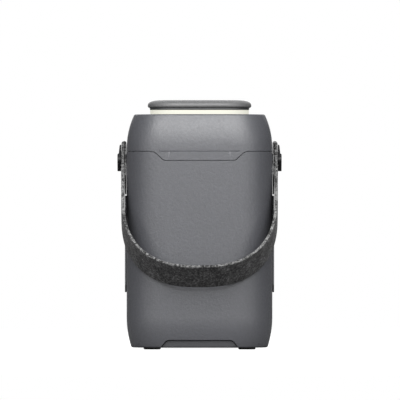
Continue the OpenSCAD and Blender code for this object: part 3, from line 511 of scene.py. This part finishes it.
def punch_hub(piece):
    """Cuts the round hole for the hooks' hubs through both ends of the webbing."""
    bpy.ops.mesh.primitive_cylinder_add(
        vertices=48,
        radius=HUB_R + 0.15 * MM,
        depth=0.2,
        rotation=(0, math.pi / 2, 0),
        location=(0, 0, PIVOT_Z),
    )
    cutter = bpy.context.object
    cut = piece.modifiers.new("hub", "BOOLEAN")
    cut.operation = "DIFFERENCE"
    cut.object = cutter
    cut.solver = "EXACT"
    evaluated(piece)
    bpy.data.objects.remove(cutter)


def capsule(start, end, radius, sides=8):
    """Vertices and faces of a thread between two points, with tapered ends."""
    axis = (end - start).normalized()
    side = axis.orthogonal().normalized()
    other = axis.cross(side)
    length = (end - start).length
    verts, faces = [], []
    rings = [(0.0, 0.25), (0.12, 0.8), (0.3, 1.0), (0.7, 1.0), (0.88, 0.8), (1.0, 0.25)]
    for share, size in rings:
        for k in range(sides):
            a = 2 * math.pi * k / sides
            offset = (side * math.cos(a) + other * math.sin(a)) * radius * size
            verts.append(start + axis * length * share + offset)
    for i in range(len(rings) - 1):
        for k in range(sides):
            j = (k + 1) % sides
            faces.append((i * sides + k, i * sides + j, (i + 1) * sides + j, (i + 1) * sides + k))
    faces.append(tuple(range(sides - 1, -1, -1)))
    faces.append(tuple((len(rings) - 1) * sides + k for k in range(sides)))
    return verts, faces


def build_stitches(material):
    """Two rows of stitches across each folded end, and one along each edge of the fold."""
    to_frame = strap_matrix()
    outer = WEBBING_IN + STRAP_T - 0.06 * MM
    runs = []
    for side in (-1, 1):
        for s in (17.5 * MM, 22.5 * MM):
            for k in range(8):
                w = (-10.6 + 2.75 * k) * MM
                runs.append((side, s, w, s, w + 2.1 * MM))
        for w in (-11.4 * MM, 11.4 * MM):
            for k in range(3):
                s = (14.6 + 3.0 * k) * MM
                runs.append((side, s, w, s + 2.2 * MM, w))
    verts, faces = [], []
    for side, s0, w0, s1, w1 in runs:
        start = to_frame @ Vector((side * outer, -s0, w0))
        end = to_frame @ Vector((side * outer, -s1, w1))
        v, f = capsule(start, end, 0.24 * MM)
        faces += [tuple(i + len(verts) for i in face) for face in f]
        verts += v
    mesh = mesh_from("strap_stitches", verts, faces)
    for polygon in mesh.polygons:
        polygon.use_smooth = True
    return new_object("strap_stitches", mesh, "strap", material)


# ---------- Symbols on the front ----------


def flat_piece(name, loops, y, thickness, body, material):
    """Thin raised shapes on the front: loops are lists of (x, z) outlines, counter-clockwise."""
    verts, faces = [], []
    for loop in loops:
        base = len(verts)
        count = len(loop)
        verts += [(x, y + thickness, z) for x, z in loop]
        verts += [(x, y, z) for x, z in loop]
        faces.append(tuple(base + k for k in range(count)))
        faces.append(tuple(base + count + k for k in range(count - 1, -1, -1)))
        for k in range(count):
            j = (k + 1) % count
            faces.append((base + k, base + j, base + count + j, base + count + k))
    mesh = mesh_from(name, verts, faces)
    bm = bmesh.new()
    bm.from_mesh(mesh)
    bmesh.ops.recalc_face_normals(bm, faces=bm.faces)
    bm.to_mesh(mesh)
    bm.free()
    return new_object(name, mesh, body, material)


def ring_part(cx, cz, r_in, r_out, start, end, steps=10):
    """Outlines of an arc from start to end degrees, as short four-sided pieces."""
    parts = []
    for i in range(steps):
        a = math.radians(start + (end - start) * i / steps)
        b = math.radians(start + (end - start) * (i + 1) / steps)
        corners = ((r_in, a), (r_out, a), (r_out, b), (r_in, b))
        parts.append([(cx + r * math.cos(t), cz + r * math.sin(t)) for r, t in corners])
    return parts


def bar(cx, cz, length, width, degrees):
    a = math.radians(degrees)
    ux, uz = math.cos(a), math.sin(a)
    corners = ((-1, -1), (1, -1), (1, 1), (-1, 1))
    return [
        (cx + ux * i * length / 2 - uz * j * width / 2, cz + uz * i * length / 2 + ux * j * width / 2)
        for i, j in corners
    ]


def middle(node):
    low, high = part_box(node)
    return (low + high) / 2, high.y


def build_symbols(material):
    centre, front = middle("power_button")
    x, z = centre.x, centre.z
    loops = ring_part(x, z - 0.2 * MM, 2.3 * MM, 2.85 * MM, 125, 415, 20)
    loops.append(bar(x, z + 2.0 * MM, 2.8 * MM, 0.55 * MM, 90))
    flat_piece("power_symbol", loops, front, 0.06 * MM, "power_key", material)
    centre, front = middle("lamp_button")
    x, z = centre.x, centre.z
    loops = ring_part(x, z, 0.75 * MM, 1.15 * MM, 0, 360, 20)
    for k in range(8):
        a = math.pi * k / 4
        centre_x = x + 1.95 * MM * math.cos(a)
        centre_z = z + 1.95 * MM * math.sin(a)
        loops.append(bar(centre_x, centre_z, 0.75 * MM, 0.35 * MM, math.degrees(a)))
    flat_piece("lamp_symbol", loops, front, 0.06 * MM, "lamp_key", material)
    centre, front = middle("output_button")
    x, z = centre.x, centre.z
    upper = [(0.75, 2.6), (-1.45, -0.35), (0.15, -0.35)]
    lower = [(-0.75, -2.6), (1.45, 0.35), (-0.15, 0.35)]
    loops = [[(x + px * MM, z + pz * MM) for px, pz in shape] for shape in (upper, lower)]
    flat_piece("output_symbol", loops, front, 0.06 * MM, "output_key", material)


def digit(cx, cz, height, segments):
    """A seven-segment digit: segments holds the letters a to g that are lit."""
    h, w, t = height / 2, height * 0.26, height * 0.085
    places = {
        "a": (0, h, 0), "g": (0, 0, 0), "d": (0, -h, 0),
        "f": (-w, h / 2, 90), "b": (w, h / 2, 90), "e": (-w, -h / 2, 90), "c": (w, -h / 2, 90),
    }
    made = []
    for key in segments:
        dx, dz, turn = places[key]
        length = (2 * w if turn == 0 else h) - 1.3 * t
        made.append(bar(cx + dx, cz + dz, length, t * 1.25, turn))
    return made


def build_display(material, dim):
    """Charge level in plain numbers with a row of level bars. Seen from the front, +X is on the left."""
    low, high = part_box("display_window")
    cx, cz = (low.x + high.x) / 2, (low.z + high.z) / 2
    y = high.y

    def mirror(outlines):
        return [[(2 * cx - x, z) for x, z in reversed(outline)] for outline in outlines]

    eight, six = "abcdefg", "acdefg"
    loops = digit(cx - 11 * MM, cz + 2.5 * MM, 11 * MM, eight)
    loops += digit(cx - 2.4 * MM, cz + 2.5 * MM, 11 * MM, six)
    loops += ring_part(cx + 5.0 * MM, cz + 6.0 * MM, 0.6 * MM, 1.05 * MM, 0, 360, 14)
    loops += ring_part(cx + 8.4 * MM, cz - 1.2 * MM, 0.6 * MM, 1.05 * MM, 0, 360, 14)
    loops.append(bar(cx + 6.7 * MM, cz + 2.4 * MM, 9.0 * MM, 0.5 * MM, 65))
    loops += [bar(cx + (-17 + 4.6 * k) * MM, cz - 9.2 * MM, 3.6 * MM, 2.0 * MM, 0) for k in range(7)]
    flat_piece("display_level", mirror(loops), y, 0.05 * MM, "case", material)
    rest = [bar(cx + (-17 + 4.6 * k) * MM, cz - 9.2 * MM, 3.6 * MM, 2.0 * MM, 0) for k in (7,)]
    rest += [bar(cx + 21.5 * MM, cz + dz * MM, 9 * MM, 0.7 * MM, 0) for dz in (7.5, 3.5, -0.5)]
    flat_piece("display_rest", mirror(rest), y, 0.05 * MM, "case", dim)


# ---------- Materials of the nodes ----------


def make_materials():
    case = (0.043, 0.044, 0.049)
    return {
        "case_plastic": moulded_plastic("case_plastic", case),
        "cap_plastic": moulded_plastic("cap_plastic", (0.060, 0.060, 0.061), rough=(0.46, 0.62)),
        "grille_plastic": moulded_plastic("grille_plastic", (0.048, 0.049, 0.053), 0.4, 0.03),
        "base_plastic": moulded_plastic("base_plastic", (0.046, 0.047, 0.050), 0.4, 0.03),
        "dark_plastic": moulded_plastic("dark_plastic", (0.022, 0.023, 0.025), 0.35, 0.02, (0.34, 0.46)),
        "black_plastic": smooth_plastic(
            "black_plastic", (0.005, 0.005, 0.0055), (0.40, 0.52), Specular_IOR_Level=0.25
        ),
        "panel_glass": panel_window("panel_glass"),
        "foot_rubber": soft_rubber("foot_rubber", (0.018, 0.018, 0.018)),
        "diffuser": lit_diffuser("diffuser"),
        "steel": metal("steel", (0.60, 0.60, 0.62)),
        "nickel": metal("nickel", (0.70, 0.70, 0.71), (0.16, 0.26), (1, 14, 1)),
        "contact_brass": metal("contact_brass", (0.76, 0.58, 0.28), (0.2, 0.32), (1, 14, 1)),
        "socket_yellow": smooth_plastic("socket_yellow", (0.60, 0.38, 0.03), (0.3, 0.42)),
        "circuit_board": circuit_board("circuit_board", (0.02, 0.13, 0.07)),
        "cell_wrap": smooth_plastic("cell_wrap", (0.04, 0.11, 0.30), (0.22, 0.34)),
        "pack_plastic": smooth_plastic("pack_plastic", (0.02, 0.02, 0.02), (0.4, 0.5)),
        "sink_aluminium": metal("sink_aluminium", (0.66, 0.67, 0.69), (0.28, 0.4), (1, 1, 12)),
        "webbing": webbing("webbing"),
    }


# Bevel in mm of each node that can be seen; the others keep their CAD mesh.
BEVELS = {
    "rear_shell": 0.22, "front_shell": 0.22, "top_cover": 0.22, "base_cover": 0.3, "lamp_cap": 0.3,
    "lamp_trim_ring": 0.2, "lamp_diffuser": 0.2, "lamp_tray": 0.3, "side_grille_left": 0.3,
    "side_grille_right": 0.3, "front_fascia": 0.22, "display_window": 0.15, "power_button": 0.35,
    "lamp_button": 0.35, "output_button": 0.35, "car_socket_cover": 0.3, "dc_input_cover": 0.3,
    "foot_rear_left": 0.3, "foot_rear_right": 0.3, "foot_front_left": 0.3, "foot_front_right": 0.3,
    "strap_hook_left": 0.35, "strap_hook_right": 0.35, "strap_screw_left": 0.25, "strap_screw_right": 0.25,
    "strap_anchor_left": 0.2, "strap_anchor_right": 0.2, "car_socket_barrel": 0.3, "car_socket_pin": 0.1,
    "dc_input_pin": 0.1, "dc_input_socket": 0.2, "dc_input_contacts": 0.3, "usb_c_port_1": 0.08,
    "usb_c_port_2": 0.08, "usb_c_port_3": 0.08, "usb_c_port_4": 0.08, "usb_a_port_1": 0.08,
    "usb_a_port_2": 0.08, "fan_frame": 0.2, "fan_rotor": 0.15, "base_screws": 0.2,
}


def dress_nodes(materials):
    for node, piece in frame["nodes"].items():
        material = materials[SLOTS[node]]
        if node in BEVELS:
            softened(node, material, BEVELS[node])
        elif node != "strap_webbing":
            piece.data.materials.clear()
            piece.data.materials.append(material)


# ---------- Floor, light and camera ----------


def white_for_camera(name, color, lift):
    """Floor material: a plain surface that the camera sees lifted to white."""
    s = Shader(name, Roughness=0.9, Specular_IOR_Level=0.1)
    speck = s.noise(1 / (40 * MM), 2.0)
    base = s.mix(speck, shade(color, 0.99), shade(color, 1.0))
    path = s.node("LightPath")
    seen = s.math("MAXIMUM", path.outputs["Is Camera Ray"], path.outputs["Is Transmission Ray"])
    s.surface.inputs["Emission Color"].default_value = (1, 1, 1, 1)
    s.feed(s.surface.inputs["Emission Strength"], s.math("MULTIPLY", seen, lift))
    return s.wire(base)


def build_floor():
    size = 1.5
    corners = [(-size, -size, 0), (size, -size, 0), (size, size, 0), (-size, size, 0)]
    mesh = mesh_from("floor", corners, [(0, 1, 2, 3)])
    floor = bpy.data.objects.new("floor", mesh)
    bpy.context.scene.collection.objects.link(floor)
    mesh.materials.append(white_for_camera("floor_paper", (0.09, 0.09, 0.09), 0.97))


def build_world(level, seen):
    world = bpy.data.worlds.new("studio")
    bpy.context.scene.world = world
    world.use_nodes = True
    tree = world.node_tree
    background = tree.nodes["Background"]
    path = tree.nodes.new("ShaderNodeLightPath")
    pick = tree.nodes.new("ShaderNodeMath")
    pick.operation = "MAXIMUM"
    tree.links.new(path.outputs["Is Camera Ray"], pick.inputs[0])
    tree.links.new(path.outputs["Is Transmission Ray"], pick.inputs[1])
    strength = tree.nodes.new("ShaderNodeMapRange")
    strength.inputs["To Min"].default_value = level
    strength.inputs["To Max"].default_value = seen
    tree.links.new(pick.outputs[0], strength.inputs["Value"])
    background.inputs["Color"].default_value = (1, 1, 1, 1)
    tree.links.new(strength.outputs["Result"], background.inputs["Strength"])


def area_light(name, place, target, size, power):
    data = bpy.data.lights.new(name, "AREA")
    data.shape = "RECTANGLE"
    data.size, data.size_y = size
    data.energy = power
    lamp = bpy.data.objects.new(name, data)
    bpy.context.scene.collection.objects.link(lamp)
    lamp.location = place
    lamp.rotation_euler = (Vector(target) - Vector(place)).to_track_quat("-Z", "Y").to_euler()
    return lamp


def build_lights():
    centre = Vector((0, 0, 0.11))
    for name, azimuth, elevation, width, height, power, glossy in SOFTBOXES:
        a, e = math.radians(azimuth), math.radians(elevation)
        away = Vector((math.sin(a) * math.cos(e), -math.cos(a) * math.cos(e), math.sin(e)))
        lamp = area_light(name, centre + 1.2 * away, centre, (width, height), power)
        lamp.visible_glossy = glossy


def build_camera():
    data = bpy.data.cameras.new("camera")
    data.sensor_width = SENSOR
    data.lens = SENSOR * CAMERA_DISTANCE / VIEW_WIDTH
    data.clip_end = 4 * CAMERA_DISTANCE
    camera = bpy.data.objects.new("camera", data)
    bpy.context.scene.collection.objects.link(camera)
    camera.location = (0.0004, -CAMERA_DISTANCE, VIEW_HEIGHT)
    camera.rotation_euler = (math.pi / 2, 0, 0)
    bpy.context.scene.camera = camera


def write_size():
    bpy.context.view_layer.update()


# ---------- Build ----------

random.seed(SEED)
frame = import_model()
SLOTS = {entry["node"]: entry["material_slot"] for entry in frame["record"]["subparts"]}

bpy.context.scene.view_settings.view_transform = "Standard"
build_camera()
build_world(WORLD_LEVEL, 1.0)
build_lights()
build_floor()

materials = make_materials()
dress_nodes(materials)
build_strap(materials["webbing"])
build_stitches(thread("strap_thread", (0.10, 0.10, 0.10)))
symbol_white = lit_symbol("symbol_white", (0.85, 0.88, 0.92), 0.5)
symbol_dim = lit_symbol("symbol_dim", (0.20, 0.22, 0.25), 0.15)
build_symbols(symbol_white)
build_display(symbol_white, symbol_dim)

write_size()
